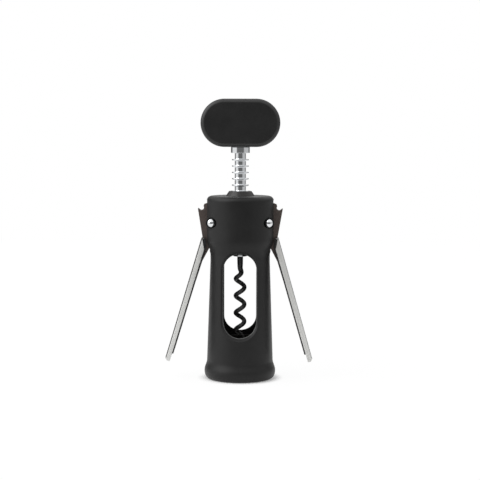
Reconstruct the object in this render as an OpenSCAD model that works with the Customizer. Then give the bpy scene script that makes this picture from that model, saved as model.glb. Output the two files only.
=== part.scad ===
// Wing corkscrew: a bell-shaped body, a ringed rack on a turning spindle, and two geared side levers.
// Millimetres, +Z up, origin in the middle of the base plane, front towards -Y.

/* [Body] */
// Height of the body without the boss on top
body_h = 119.1; // [112:0.1:124]
// Radius of the round head that holds the levers
drum_r = 21.8; // [21:0.1:24]
// Depth below the top where the shoulder reaches the full head radius
drum_drop = 28.1; // [24.5:0.1:29]
// Fillet on the top edge of the head
drum_fillet = 3.3; // [1:0.05:3.5]
// Radius of the waist under the shoulder
waist_r = 19.2; // [18:0.1:20]
// Depth of the waist below the top
waist_drop = 38.6; // [33.5:0.1:41]
// Radius of the skirt just above the base flare
skirt_r = 21.5; // [20.6:0.1:23]
// Height where the base flare ends
skirt_z = 12.3; // [9:0.1:18]
// Widest radius of the base
base_r = 23.2; // [22:0.1:26]
// Height of the widest point of the base
base_bulge_z = 5; // [3:0.1:8]
// Outer radius of the flat ring that the part stands on
base_flat_r = 20.4; // [19.4:0.1:22]
// Wall of the bell
wall = 3; // [2:0.1:4]
// Thickness of the cheek on each side of the lever slot
cheek = 3.8; // [2.5:0.1:6]

/* [Window] */
// Clear width of the front and back windows
window_w = 21.2; // [16:0.1:26]
// Lower end of the windows
window_low = 28.5; // [27:0.5:40]
// Depth of the windows' upper end below the top of the body
window_drop = 36.5; // [36:0.1:47]

/* [Bottle seat] */
// Radius of the bore that sits over a bottle's neck
neck_bore_r = 16.6; // [14.5:0.1:17]
// Depth of that bore up to its stop ledge
neck_depth = 19.5; // [12:0.5:20]
// Outer radius of the pressed-in seat
seat_r = 18.2; // [17.8:0.1:18.8]
// Radius of the hole that the worm passes through
ledge_hole_r = 9.5; // [6:0.1:14]
// Thickness of the stop ledge
ledge_t = 2.5; // [1.5:0.1:3]

/* [Guide bushes] */
// Radius of the boss at its top
boss_top_r = 7.25; // [7:0.05:8]
// Radius of the boss at its foot
boss_foot_r = 9.35; // [8:0.05:10]
// Height of the boss above the head
boss_h = 3.2; // [2:0.1:6]
// Radius of the bush shank inside the head
top_shank_r = 6.9; // [6.5:0.1:7.2]
// Length of that shank
top_shank_h = 5.8; // [3:0.1:6.5]
// Radius of the lower bush shank
low_shank_r = 7.2; // [6.8:0.1:7.6]
// Radius of the flange under the lower bush
low_flange_r = 8.4; // [7.8:0.1:9]

/* [Rack] */
// Radius over the rings
ring_r = 5.45; // [5:0.05:5.8]
// Radius of the core between the rings
core_r = 3.6; // [3.3:0.05:4]
// Spacing of the rings
ring_pitch = 4.1; // [3.9:0.05:4.3]
// Width of a ring at its rim
ring_tip = 0.8; // [0.5:0.05:1]
// Width of a ring at the core
ring_root = 1.7; // [1.2:0.05:1.9]
// Rings above the one nearest the lever pivots
rings_above = 10; // [9:1:11]
// Rings below that one
rings_below = 4; // [4:1:4]
// How far that one sits below the pivots
ring_drop = 0.7; // [0:0.1:1.2]

/* [Spindle and handle] */
// Radius of the spindle rod
rod_r = 2.5; // [2.3:0.05:2.8]
// Radius of the neck collar under the handle
neck_collar_r = 6.1; // [5.8:0.1:7]
// Height of the neck collar
neck_collar_h = 4; // [3:0.1:6]
// Radius of the end collar under the rack
end_collar_r = 4.65; // [4:0.05:5.4]
// Height of the end collar
end_collar_h = 2; // [1.5:0.1:3]
// Width of the handle
handle_w = 51.2; // [44:0.1:70]
// Height of the handle
handle_h = 30.9; // [26:0.1:38]
// Thickness of the handle
handle_t = 19; // [15:0.5:26]
// Rounding of the handle's edges
handle_edge = 2.2; // [1:0.1:3.5]
// Thickness of the soft grip over its core
grip_wall = 2.5; // [1.5:0.1:3.5]
// Radius of the cross pin through core and rod
cross_pin_r = 1.1; // [0.8:0.05:1.3]

/* [Worm] */
// Outer diameter of the worm's coil
worm_od = 8.5; // [7:0.1:10]
// Wire radius of the coil
worm_wire_r = 1.45; // [1:0.05:1.6]
// Radius of the straight shank
worm_shank_r = 1.9; // [1.5:0.05:1.9]
// Rise of one turn
worm_pitch = 11.2; // [9:0.1:13]
// Height of the worm's point
worm_tip_z = 25.5; // [25:0.1:36]
// Depth of the shank in the rod
worm_tenon = 12; // [6:0.5:16]

/* [Levers] */
// Distance of each lever pivot from the middle
pivot_x = 18.3; // [18.1:0.05:18.6]
// Depth of the lever pivots below the top of the body
pivot_drop = 17; // [16.6:0.1:17.4]
// Lean of the left lever from upright
left_lean = 16.7; // [15.4:0.1:17.8]
// Lean of the right lever from upright
right_lean = 15.8; // [14.9:0.1:17.4]
// Thickness of the gear head
gear_t = 7; // [5:0.1:8]
// Teeth that a full gear of this size would have
gear_teeth = 21; // [20:1:22]
// Gap between a tooth's tip and the rack's core
tip_gap = 0.8; // [0.5:0.05:1]
// Distance from pivot to the square end of an arm
arm_len = 95.4; // [80:0.1:110]
// Depth of an arm from front to back
arm_d = 13.5; // [11:0.1:18]
// Offset of an arm's outer face from the pivot line
arm_out = 3.6; // [3.4:0.05:4.2]
// Offset of an arm's inner edge at its top
arm_in_top = 0.2; // [0.2:0.05:0.9]
// Offset of an arm's inner edge at its end
arm_in_end = -0.3; // [-0.5:0.05:0.3]
// Sheet thickness of an arm
arm_wall = 1.3; // [0.9:0.05:1.6]
// How far the inner strip stands out of an arm
strip_proud = 0.9; // [0.4:0.05:1.2]
// Length of the gear's tongue inside an arm
tongue_len = 42; // [36:0.5:60]
// Radius of the arm rivets
arm_rivet_r = 1.5; // [1:0.05:2]

/* [Pivot rivets] */
// Radius of a pivot rivet
pin_r = 2; // [1.6:0.05:2.3]
// Radius of its domed heads
pin_head_r = 2.9; // [2.6:0.05:3.1]
// Height of its domed heads
pin_head_h = 1.9; // [1:0.05:2.2]
// Radius of the round recess for a head
recess_r = 3.25; // [3.2:0.05:3.5]
// Radius of the pad under a head
pad_r = 3.6; // [3.55:0.05:3.8]
// Distance of a pad's face from the middle plane
pad_y = 12; // [9:0.1:12.5]
// How far the rim of a recess stands up past its pad
pad_rim = 0.2; // [0.1:0.1:1]

/* [Clearances] */
// Running gap round a turning or sliding shaft
run_gap = 0.05; // [0.02:0.01:0.1]
// Gap between rings and guide bushes
guide_gap = 0.1; // [0.05:0.01:0.2]
// Gap on each face of a lever head
side_gap = 0.3; // [0.15:0.05:0.5]
// Gap left at the end of the stroke
stop_gap = 0.4; // [0.2:0.05:0.8]

/* [Hidden] */
$fn = 96;
arc_steps = 8;
through = 60;
over = 1;

drum_z = body_h - drum_drop;
waist_z = body_h - waist_drop;
window_high = body_h - window_drop;
pivot_z = body_h - pivot_drop;

rack_lead = 4.2;
rack_foot = 3.2;
rack_mid_z = pivot_z - ring_drop;
rack_top_z = rack_mid_z + rings_above * ring_pitch + rack_lead;
rack_low_z = rack_mid_z - rings_below * ring_pitch - rack_foot;
neck_low_z = rack_top_z + run_gap * 2;
end_top_z = rack_low_z - run_gap * 2;
handle_low_z = neck_low_z + neck_collar_h;
handle_mid_z = handle_low_z + handle_h / 2;
rod_low_z = end_top_z - end_collar_h;
rod_top_z = handle_mid_z + handle_h * 0.2;
cross_pin_z = handle_mid_z - handle_h * 0.15;
core_t = handle_t - 2 * grip_wall;
core_h = handle_h - 2 * grip_wall;
stem_wall = 2;
stem_r = rod_r + stem_wall;
boss_top_z = body_h + boss_h;
stroke = neck_low_z - boss_top_z - stop_gap;

gear_pitch_r = gear_teeth * ring_pitch / (2 * PI);
gear_tip_r = pivot_x - core_r - tip_gap;
swing = stroke / gear_pitch_r * 180 / PI;
tooth_angle = 360 / gear_teeth;
gear_phase = asin(ring_drop / gear_pitch_r);
gullet_r = 1;
gullet_mid_r = gear_tip_r - 1.9;
gullet_low_half = 0.9;
gullet_tip_half = 1.3;
working_gullets = 6;
gear_hub_r = gear_tip_r - 3.1;
first_tooth = -0.73;
first_angle = first_tooth * tooth_angle - gear_phase;
last_angle = 103;
end_tip_r = gear_tip_r - 1.25;
end_gullet_angle = 126.6;
end_gullet_r = 1.75;
end_gullet_half = 8.5;
end_gullet_mouth = [108, 136.2];
end_gullet_mid_r = gear_tip_r - 2.15;
corner_angle = 137;
corner_r = gear_tip_r - 1.4;
mid_lean = (left_lean + right_lean) / 2;

roof_gap = 0.3;
floor_gap = 0.5;
side_slot_drop = 4.2;
side_slot_in = 2.2;
arch_gap = 0.4;
shaft_gap = 0.5;
pocket_wall = 3.5;
pocket_roof = 4;
seat_rim_gap = 3;
slot_half = gear_t / 2 + side_gap;
slot_roof = pivot_z + gear_tip_r + roof_gap;
slot_floor = pivot_z - gear_tip_r - floor_gap;
side_floor = slot_floor - side_slot_drop;
side_slot_x = waist_r - side_slot_in;
deck_low = window_high + arch_gap;
shaft_hole_r = ring_r + shaft_gap;
pocket_x = pivot_x - pad_r - pocket_wall;
pocket_top = body_h - pocket_roof;
seat_top = window_low - seat_rim_gap;
low_flange_t = 1;
low_bush_rise = 2;
low_bush_top = slot_floor + low_bush_rise;

arm_start = 11.7;
arm_top_flat = 0.6;
arm_start_in = 18;
heel_step = 0.75;
heel_gap = 0.2;
tail_top = [4.94, 9.6];
tail_knee = [3.4, 15.8];
tail_end = [1.3, 26];
tip_flat = 1.5;
tip_nose = 2.1;
tip_bevel = 3.9;
arm_edge_r = 1.4;
arm_tip_r = 4.5;
strip_fit = 0.05;
rivet_places = [25, 36];
web_in = arm_out - arm_wall;
pocket_half = arm_d / 2 - arm_wall;
strip_top = [13, 11.2, 17.6];
strip_top_x = 0.2 - web_in;
strip_cap = [[-0.7, 11.2], [0.5, 15.2]];
strip_end = arm_len - arm_wall;

worm_mid_r = worm_od / 2 - worm_wire_r;
worm_shoulder = 1.4;
worm_swell_drop = 5.7;
worm_full_drop = 13.7;
worm_left_drop = 13.3;
worm_neck_step = 0.2;
worm_start_z = rod_low_z - worm_shoulder;
worm_swell_z = worm_start_z - worm_swell_drop;
worm_full_z = worm_start_z - worm_full_drop;
worm_left_z = worm_start_z - worm_left_drop;
worm_neck_r = worm_shank_r - worm_neck_step;
worm_point_r = 0.25;
worm_point_len = 6.5;
worm_rings = 104;
worm_sides = 12;

black = "#2b2b2b";
soft_black = "#282828";
nylon = "#33302f";
oxide = "#352e2c";
silver = "#c4c4c1";
chrome = "#d6d8da";

// Smooth step from a to b as t goes from 0 to 1
function ease(a, b, t) = a + (b - a) * (1 - cos(180 * max(0, min(1, t)))) / 2;

// Radius of the tapered bell between skirt and waist
function bell_r(z) = skirt_r + (waist_r - skirt_r) * (z - skirt_z) / (waist_z - skirt_z);

function arc(mid, r, from, to) = [
    for (i = [0 : arc_steps])
        let (a = from + (to - from) * i / arc_steps)
        mid + r * [cos(a), sin(a)]
];

// Outline of the body's outside, from the axis at the base round to the axis at the top
body_outline = concat(
    [[0, 0]],
    [for (i = [0 : arc_steps]) let (a = 90 * i / arc_steps)
        [base_flat_r + (base_r - base_flat_r) * sin(a), base_bulge_z * (1 - cos(a))]],
    [for (i = [1 : arc_steps]) let (t = i / arc_steps)
        [ease(base_r, skirt_r, t), base_bulge_z + (skirt_z - base_bulge_z) * t]],
    [for (i = [0 : arc_steps]) let (t = i / arc_steps)
        [ease(waist_r, drum_r, t), waist_z + (drum_z - waist_z) * t]],
    arc([drum_r - drum_fillet, body_h - drum_fillet], drum_fillet, 0, 90),
    [[0, body_h]]
);

// Stands a flat outline in the X-Z plane, centred on Y
module upright(depth) {
    rotate([90, 0, 0])
        linear_extrude(depth, center = true)
            children();
}

module stadium(low, high, width) {
    for (z = [low + width / 2, high - width / 2])
        translate([0, z])
            circle(width / 2);
    translate([-width / 2, low + width / 2])
        square([width, high - low - width]);
}

module rod_between(r, low, high) {
    translate([0, 0, low])
        cylinder(r = r, h = high - low);
}

module pivot_places() {
    for (side = [-1, 1])
        translate([side * pivot_x, 0, pivot_z])
            rotate([90, 0, 0])
                children();
}

module bell_hollow() {
    rotate_extrude()
        polygon([
            [0, -over],
            [seat_r, -over],
            [seat_r, seat_top],
            [bell_r(seat_top) - wall, seat_top],
            [bell_r(deck_low) - wall, deck_low],
            [0, deck_low]
        ]);
}

// Space inside the head on both sides of the cheeks, open downwards
module head_pockets() {
    for (side = [-1, 1])
        intersection() {
            rod_between(waist_r - wall, deck_low - over, pocket_top);
            translate([-pocket_x, side > 0 ? slot_half + cheek : -through, deck_low - over])
                cube([2 * pocket_x, through - slot_half - cheek, pocket_top - deck_low + over]);
        }
}

module lever_slots() {
    translate([-through / 2, -slot_half, slot_floor])
        cube([through, 2 * slot_half, slot_roof - slot_floor]);
    for (side = [0, 1])
        mirror([side, 0, 0])
            translate([side_slot_x, -slot_half, side_floor])
                cube([through / 2 - side_slot_x, 2 * slot_half, slot_floor - side_floor + over]);
}

module body_shell() {
    color(black)
        difference() {
            union() {
                rotate_extrude()
                    polygon(body_outline);
                pivot_places()
                    cylinder(r = pad_r, h = 2 * (pad_y + pad_rim), center = true);
            }
            bell_hollow();
            head_pockets();
            lever_slots();
            upright(through)
                stadium(window_low, window_high, window_w);
            rod_between(shaft_hole_r, deck_low - over, body_h + over);
            rod_between(low_shank_r, deck_low - over, low_bush_top);
            rod_between(top_shank_r, body_h - top_shank_h, body_h + over);
            pivot_places()
                cylinder(r = pin_r, h = through, center = true);
            pivot_places()
                for (end = [0, 1])
                    mirror([0, 0, end])
                        rod_between(recess_r, pad_y, through / 2);
        }
}

module top_guide_bush() {
    color(nylon)
        difference() {
            union() {
                rod_between(top_shank_r, body_h - top_shank_h, body_h + boss_h / 2);
                translate([0, 0, body_h])
                    cylinder(r1 = boss_foot_r, r2 = boss_top_r, h = boss_h);
            }
            rod_between(ring_r + guide_gap, body_h - top_shank_h - over, boss_top_z + over);
        }
}

module lower_guide_bush() {
    color(nylon)
        difference() {
            union() {
                rod_between(low_shank_r, deck_low - low_flange_t, low_bush_top);
                rod_between(low_flange_r, deck_low - low_flange_t, deck_low);
            }
            rod_between(ring_r + guide_gap, deck_low - low_flange_t - over, low_bush_top + over);
        }
}

module bottle_seat() {
    color(nylon)
        rotate_extrude()
            polygon([
                [neck_bore_r, 0],
                [seat_r, 0],
                [seat_r, seat_top],
                [neck_bore_r, seat_top],
                [neck_bore_r, neck_depth + ledge_t],
                [ledge_hole_r, neck_depth + ledge_t],
                [ledge_hole_r, neck_depth],
                [neck_bore_r, neck_depth]
            ]);
}

// Pin with a dome at both ends, along Y through the head
module pivot_rivet(side) {
    dome_r = (pin_head_r * pin_head_r + pin_head_h * pin_head_h) / (2 * pin_head_h);
    dome_a = asin(pin_head_r / dome_r);
    dome = arc([0, pad_y + pin_head_h - dome_r], dome_r, 90 - dome_a, 90);
    color(chrome)
        translate([side * pivot_x, 0, pivot_z])
            rotate([90, 0, 0])
                for (end = [0, 1])
                    mirror([0, 0, end])
                        rotate_extrude()
                            polygon(concat([[0, 0], [pin_r, 0], [pin_r, pad_y]], dome));
}

module pivot_rivet_left() {
    pivot_rivet(-1);
}

module pivot_rivet_right() {
    pivot_rivet(1);
}

// Sleeve with round ring teeth that both gears work on from any turn of the handle
module rack_sleeve() {
    bore = rod_r + run_gap;
    rings = [
        for (k = [-rings_below : rings_above])
            let (z = rack_mid_z + k * ring_pitch)
            each [
                [core_r, z - ring_root / 2],
                [ring_r, z - ring_tip / 2],
                [ring_r, z + ring_tip / 2],
                [core_r, z + ring_root / 2]
            ]
    ];
    color(chrome)
        rotate_extrude()
            polygon(concat(
                [[bore, rack_low_z], [core_r, rack_low_z]],
                rings,
                [[core_r, rack_top_z], [bore, rack_top_z]]
            ));
}

module spindle_rod() {
    color(chrome)
        difference() {
            rod_between(rod_r, rod_low_z, rod_top_z);
            rod_between(worm_shank_r, rod_low_z - over, rod_low_z + worm_tenon);
            translate([0, 0, cross_pin_z])
                rotate([90, 0, 0])
                    cylinder(r = cross_pin_r, h = through, center = true);
        }
}

module neck_collar() {
    color(chrome)
        difference() {
            rod_between(neck_collar_r, neck_low_z, handle_low_z);
            rod_between(rod_r, neck_low_z - over, handle_low_z + over);
        }
}

module end_collar() {
    color(chrome)
        difference() {
            rod_between(end_collar_r, rod_low_z, end_top_z);
            rod_between(rod_r, rod_low_z - over, end_top_z + over);
        }
}

// Rounded corner section of a slab, or half of it for the round ends
module slab_section(width, depth, edge, half) {
    left = half ? 0 : -width / 2;
    translate([left, edge - depth / 2])
        square([width / 2 - left, depth - 2 * edge]);
    translate([half ? 0 : left + edge, -depth / 2])
        square([width / 2 - (half ? 0 : left + edge) - edge, depth]);
    for (x = half ? [1] : [-1, 1])
        for (y = [-1, 1])
            translate([x * (width / 2 - edge), y * (depth / 2 - edge)])
                circle(edge);
}

// Slab with round ends and rounded edges, lying along X
module round_slab(width, high, depth, edge) {
    rotate([0, 90, 0])
        linear_extrude(width - high, center = true)
            slab_section(high, depth, edge, false);
    for (side = [-1, 1])
        translate([side * (width - high) / 2, 0, 0])
            rotate([90, 0, 0])
                rotate_extrude()
                    slab_section(high, depth, edge, true);
}

module core_body() {
    translate([0, 0, handle_mid_z])
        round_slab(handle_w - 2 * grip_wall, core_h, core_t, handle_edge / 2);
    rod_between(stem_r, handle_low_z, handle_mid_z);
}

module handle_core() {
    color(nylon)
        difference() {
            core_body();
            rod_between(rod_r, handle_low_z - over, rod_top_z);
            translate([0, 0, cross_pin_z])
                rotate([90, 0, 0])
                    cylinder(r = cross_pin_r, h = through, center = true);
        }
}

module handle_grip() {
    color(soft_black)
        difference() {
            translate([0, 0, handle_mid_z])
                round_slab(handle_w, handle_h, handle_t, handle_edge);
            core_body();
            rod_between(stem_r, handle_low_z - over, handle_mid_z);
        }
}

module handle_cross_pin() {
    color(chrome)
        translate([0, 0, cross_pin_z])
            rotate([90, 0, 0])
                cylinder(r = cross_pin_r, h = core_t, center = true);
}

// Worm: a right-handed open coil whose wire leaves the shank, winds at a steady pitch and ends in a point
function worm_turn(z) = 180 + 360 * (z - worm_left_z) / worm_pitch;
function worm_off(z) = ease(0, worm_mid_r, (worm_swell_z - z) / (worm_swell_z - worm_full_z));
function worm_at(z) = [worm_off(z) * cos(worm_turn(z)), worm_off(z) * sin(worm_turn(z)), z];
function worm_thick(z) = min(
    ease(worm_neck_r, worm_wire_r, (worm_start_z - z) / (worm_start_z - worm_full_z)),
    worm_point_r + (worm_wire_r - worm_point_r) * sin(90 * min(1, (z - worm_tip_z) / worm_point_len))
);
function unit(v) = v / norm(v);

module worm_coil() {
    step = (worm_start_z - worm_tip_z) / (worm_rings - 1);
    points = [
        for (i = [0 : worm_rings - 1])
            let (
                z = worm_start_z - i * step,
                along = unit(worm_at(z - 0.01) - worm_at(z + 0.01)),
                out = [cos(worm_turn(z)), sin(worm_turn(z)), 0],
                side = unit(cross(along, out)),
                up = cross(side, along)
            )
            for (k = [0 : worm_sides - 1])
                let (a = 360 * k / worm_sides)
                worm_at(z) + worm_thick(z) * (cos(a) * up + sin(a) * side)
    ];
    last = (worm_rings - 1) * worm_sides;
    quads = [
        for (i = [0 : worm_rings - 2])
            for (k = [0 : worm_sides - 1])
                let (
                    a = i * worm_sides + k,
                    b = i * worm_sides + (k + 1) % worm_sides
                )
                each [[a, b + worm_sides, b], [a, a + worm_sides, b + worm_sides]]
    ];
    ends = [
        [for (k = [0 : worm_sides - 1]) k],
        [for (k = [0 : worm_sides - 1]) last + worm_sides - 1 - k]
    ];
    polyhedron(points, concat(quads, ends), convexity = 12);
}

module worm() {
    color(black) {
        worm_coil();
        rod_between(worm_shank_r, worm_start_z - over / 2, rod_low_z + worm_tenon);
    }
}

// Places a lever, drawn hanging straight down from its pivot with its outer side at -X
module lever_place(side) {
    translate([side * pivot_x, 0, pivot_z])
        mirror([side > 0 ? 1 : 0, 0, 0])
            rotate([0, side > 0 ? right_lean : left_lean, 0])
                children();
}

function polar(r, angle) = r * [cos(angle + mid_lean), sin(angle + mid_lean)];

// Straight-sided gullet with a round bottom
module gullet(angle) {
    rotate(angle + mid_lean) {
        translate([gullet_mid_r, 0])
            circle(gullet_r);
        polygon([
            [gullet_mid_r, -gullet_low_half],
            [gear_tip_r + 1, -gullet_tip_half],
            [gear_tip_r + 1, gullet_tip_half],
            [gullet_mid_r, gullet_low_half]
        ]);
    }
}

// Wide notch behind the last tooth, open outwards
module end_gullet() {
    translate(polar(end_gullet_mid_r, end_gullet_angle))
        circle(end_gullet_r);
    polygon([
        polar(end_gullet_mid_r, end_gullet_angle - end_gullet_half),
        polar(gear_tip_r + 1, end_gullet_mouth[0]),
        polar(gear_tip_r + 1, end_gullet_mouth[1]),
        polar(end_gullet_mid_r, end_gullet_angle + end_gullet_half)
    ]);
}

module sector(r, from, to) {
    intersection() {
        circle(r);
        polygon(concat(
            [[0, 0]],
            [for (i = [0 : arc_steps]) polar(2 * r, from + (to - from) * i / arc_steps)]
        ));
    }
}

module gear_outline() {
    corner = polar(corner_r, corner_angle);
    heel = [heel_step - arm_out, heel_gap - arm_start];
    beyond = corner + (corner - heel) * 0.5;
    difference() {
        union() {
            sector(gear_tip_r, first_angle, last_angle);
            sector(end_tip_r, last_angle - over, corner_angle);
            circle(gear_hub_r);
            polygon([[0, 0], corner, heel, [0, heel[1]]]);
            polygon([
                [0, 0],
                [-web_in, -gear_hub_r / 2],
                [-web_in, -tongue_len],
                [arm_inner(tongue_len) + strip_proud, -tongue_len],
                [tail_end[0], -tail_end[1]],
                [tail_knee[0], -tail_knee[1]],
                [tail_top[0], -tail_top[1]]
            ]);
        }
        for (k = [0 : working_gullets])
            gullet(k * tooth_angle - gear_phase);
        end_gullet();
        polygon([beyond, heel, [-through, heel[1]], [-through, beyond[1]]]);
        circle(pin_r + run_gap);
    }
}

// Offset of an arm's inner edge at a distance down the arm
function arm_inner(u) =
    arm_in_top + (arm_in_end - arm_in_top) * (u - arm_start_in) / (arm_len - arm_start_in);

module arm_rivet_holes(r) {
    for (u = rivet_places)
        translate([-arm_out, 0, -u])
            rotate([0, 90, 0])
                rod_between(r, -over, arm_out);
}

module lever_gear(side) {
    color(oxide)
        lever_place(side)
            difference() {
                upright(gear_t)
                    gear_outline();
                arm_rivet_holes(arm_rivet_r);
            }
}

module arm_side() {
    polygon([
        [arm_top_flat - arm_out, -arm_start],
        [-arm_out, -arm_start],
        [-arm_out, tip_nose - arm_len],
        [tip_flat - arm_out, -arm_len],
        [-tip_flat / 5, -arm_len],
        [arm_inner(arm_len - tip_bevel), tip_bevel - arm_len],
        [arm_in_top, -arm_start_in]
    ]);
}

// Section across an arm with its two outer edges rounded
module arm_section() {
    translate([-arm_out + arm_edge_r, -arm_d / 2])
        square([arm_out + through, arm_d]);
    translate([-arm_out, arm_edge_r - arm_d / 2])
        square([arm_out, arm_d - 2 * arm_edge_r]);
    for (y = [-1, 1])
        translate([arm_edge_r - arm_out, y * (arm_d / 2 - arm_edge_r)])
            circle(arm_edge_r);
}

// Outline of an arm seen from the side, with the corners of its end rounded
module arm_face() {
    translate([-arm_d / 2, arm_tip_r - arm_len])
        square([arm_d, arm_len]);
    translate([arm_tip_r - arm_d / 2, -arm_len])
        square([arm_d - 2 * arm_tip_r, arm_len]);
    for (y = [-1, 1])
        translate([y * (arm_d / 2 - arm_tip_r), arm_tip_r - arm_len])
            circle(arm_tip_r);
}

module lever_arm(side) {
    color(silver)
        lever_place(side)
            difference() {
                intersection() {
                    upright(arm_d)
                        arm_side();
                    translate([0, 0, -arm_len - 1])
                        linear_extrude(arm_len)
                            arm_section();
                    rotate([90, 0, 90])
                        linear_extrude(through, center = true)
                            arm_face();
                }
                translate([-web_in, -pocket_half, arm_tip_r - strip_end])
                    cube([through, 2 * pocket_half, arm_len]);
                translate([-web_in, arm_tip_r - pocket_half, -strip_end])
                    cube([through, 2 * (pocket_half - arm_tip_r), arm_len]);
                arm_rivet_holes(arm_rivet_r);
            }
}

module lever_strip(side) {
    color(black)
        lever_place(side)
            difference() {
                upright(2 * (pocket_half - strip_fit))
                    polygon([
                        [-web_in, -strip_top[0]],
                        [-web_in, arm_tip_r - strip_end + strip_fit],
                        [arm_inner(strip_end - arm_tip_r) + strip_proud, arm_tip_r - strip_end + strip_fit],
                        [arm_in_top + strip_proud, -strip_top[2]],
                        [strip_cap[1][0], -strip_cap[1][1]],
                        [strip_cap[0][0], -strip_cap[0][1]],
                        [strip_top_x, -strip_top[1]]
                    ]);
                translate([-through / 2, -gear_t / 2, -tongue_len])
                    cube([through, gear_t, tongue_len]);
            }
}

module arm_rivets(side) {
    color(silver)
        lever_place(side)
            for (u = rivet_places)
                translate([-arm_out, 0, -u])
                    rotate([0, 90, 0])
                        rod_between(arm_rivet_r, 0, arm_out);
}

module lever_gear_left() {
    lever_gear(-1);
}

module lever_arm_left() {
    lever_arm(-1);
}

module lever_strip_left() {
    lever_strip(-1);
}

module arm_rivets_left() {
    arm_rivets(-1);
}

module lever_gear_right() {
    lever_gear(1);
}

module lever_arm_right() {
    lever_arm(1);
}

module lever_strip_right() {
    lever_strip(1);
}

module arm_rivets_right() {
    arm_rivets(1);
}

echo(stroke = stroke, swing = swing, gear_pitch_r = gear_pitch_r, gear_tip_r = gear_tip_r);

body_shell();
top_guide_bush();
lower_guide_bush();
bottle_seat();
pivot_rivet_left();
pivot_rivet_right();
rack_sleeve();
spindle_rod();
neck_collar();
end_collar();
handle_core();
handle_grip();
handle_cross_pin();
worm();
lever_gear_left();
lever_arm_left();
lever_strip_left();
arm_rivets_left();
lever_gear_right();
lever_arm_right();
lever_strip_right();
arm_rivets_right();
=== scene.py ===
"""Looks of a wing corkscrew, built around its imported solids.

Sizes are in millimetres and turned to metres when a mesh is finished. The spindle stands on the Z axis, the base on
Z = 0, and the front faces -Y.
"""

import logging
import math
from dataclasses import dataclass, field
from enum import Enum
from typing import Callable, Iterable, Sequence

import bmesh
import bpy
from bmesh.types import BMEdge, BMesh, BMFace, BMVert
from bpy.types import Material, Node, NodeSocket, NodeTree, Object, World
from mathutils import Matrix, Vector


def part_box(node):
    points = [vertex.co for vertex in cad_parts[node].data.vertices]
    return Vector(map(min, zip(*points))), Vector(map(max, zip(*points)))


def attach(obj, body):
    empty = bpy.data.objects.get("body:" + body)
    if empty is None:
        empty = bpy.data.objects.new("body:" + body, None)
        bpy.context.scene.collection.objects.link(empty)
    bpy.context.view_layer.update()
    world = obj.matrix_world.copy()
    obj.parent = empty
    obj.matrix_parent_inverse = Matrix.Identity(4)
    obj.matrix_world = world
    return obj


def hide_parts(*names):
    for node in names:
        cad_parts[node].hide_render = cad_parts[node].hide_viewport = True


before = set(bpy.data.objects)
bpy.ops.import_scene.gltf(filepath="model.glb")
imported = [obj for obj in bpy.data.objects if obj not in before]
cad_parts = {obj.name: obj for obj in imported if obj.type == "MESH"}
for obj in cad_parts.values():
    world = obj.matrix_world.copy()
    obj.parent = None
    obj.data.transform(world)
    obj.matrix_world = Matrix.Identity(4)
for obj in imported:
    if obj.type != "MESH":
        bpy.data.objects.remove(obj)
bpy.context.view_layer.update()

MM = 0.001
FULL_TURN = 2 * math.pi
ORIGIN = (0, 0, 0)
UPRIGHT = (0, 0, 1)
QUARTER_X = Matrix.Rotation(math.pi / 2, 4, "X")

# Distances in millimetres below which corners are one, loose triangles are joined, and a corner lies on the axis
MERGE = 1e-4
WELD = 1e-3
ON_AXIS = 1e-6

# Steps of a full turn on large and on small round shapes
TURN_STEPS = 96
PIN_STEPS = 48

# Least angle of an edge that is rounded on a CAD shape, and most angle between triangles of one flat face
HARD_EDGE = math.radians(30)
FLAT_FACE = math.radians(0.4)

# Share of the grain in a finish's noise, and the span that the noise mostly keeps to
GRAIN_SHARE = 0.5
NOISE_SPAN = {"From Min": 0.45, "From Max": 1.05}

# Sizes that the bell shares with what is pressed into it
BELL_TOP = 119.1
DECK_Z = 83.0
SEAT_R = 18.2
SEAT_Z = 25.5
PIVOT = (18.3, 102.1)
PAD_Y = 12.0

log = logging.getLogger("corkscrew")


class Body(Enum):
    """The moving bodies of the part, by their names in the frame."""

    SHELL = "body"
    RACK = "rack"
    SPINDLE = "spindle"
    LEFT = "left_lever"
    RIGHT = "right_lever"


class Slot(Enum):
    """The record's material slots."""

    BODY = "body_black"
    BUSH = "bush_black"
    GRIP = "grip_black"
    CHROME = "rack_chrome"
    WORM = "worm_black"
    GEAR = "gear_oxide"
    ARM = "arm_silver"
    STRIP = "strip_black"


def linear(code: str) -> tuple[float, float, float, float]:
    """Turns an sRGB hex colour to linear light.

    Args:
        code: Colour as #rrggbb.

    Returns:
        Red, green, blue and full opacity.
    """
    shares = [int(code[i:i + 2], 16) / 255 for i in (1, 3, 5)]
    red, green, blue = (s / 12.92 if s <= 0.04045 else ((s + 0.055) / 1.055) ** 2.4 for s in shares)
    return red, green, blue, 1.0


def blank_tree(owner: Material | World) -> NodeTree:
    """Empties a node tree.

    Args:
        owner: Material or world that it belongs to.

    Returns:
        The tree.
    """
    owner.use_nodes = True
    owner.node_tree.nodes.clear()
    return owner.node_tree


def add_node(tree: NodeTree, kind: str, settings: dict | None = None, inputs: dict | None = None) -> Node:
    """Adds a shader node with its settings, socket values and links.

    Args:
        tree: Node tree that the node goes into.
        kind: Blender's name of the node type.
        settings: Properties to set on the node.
        inputs: Socket name or number to a value, or to an output socket that is linked to it.

    Returns:
        The new node.
    """
    node = tree.nodes.new(kind)
    for name, value in (settings or {}).items():
        setattr(node, name, value)
    for name, value in (inputs or {}).items():
        if isinstance(value, NodeSocket):
            tree.links.new(value, node.inputs[name])
        else:
            node.inputs[name].default_value = value
    return node


def per_mm(size: float) -> float:
    """Returns the noise scale, per metre, whose features are about this many millimetres wide."""
    return 1 / (size * MM)


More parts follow.
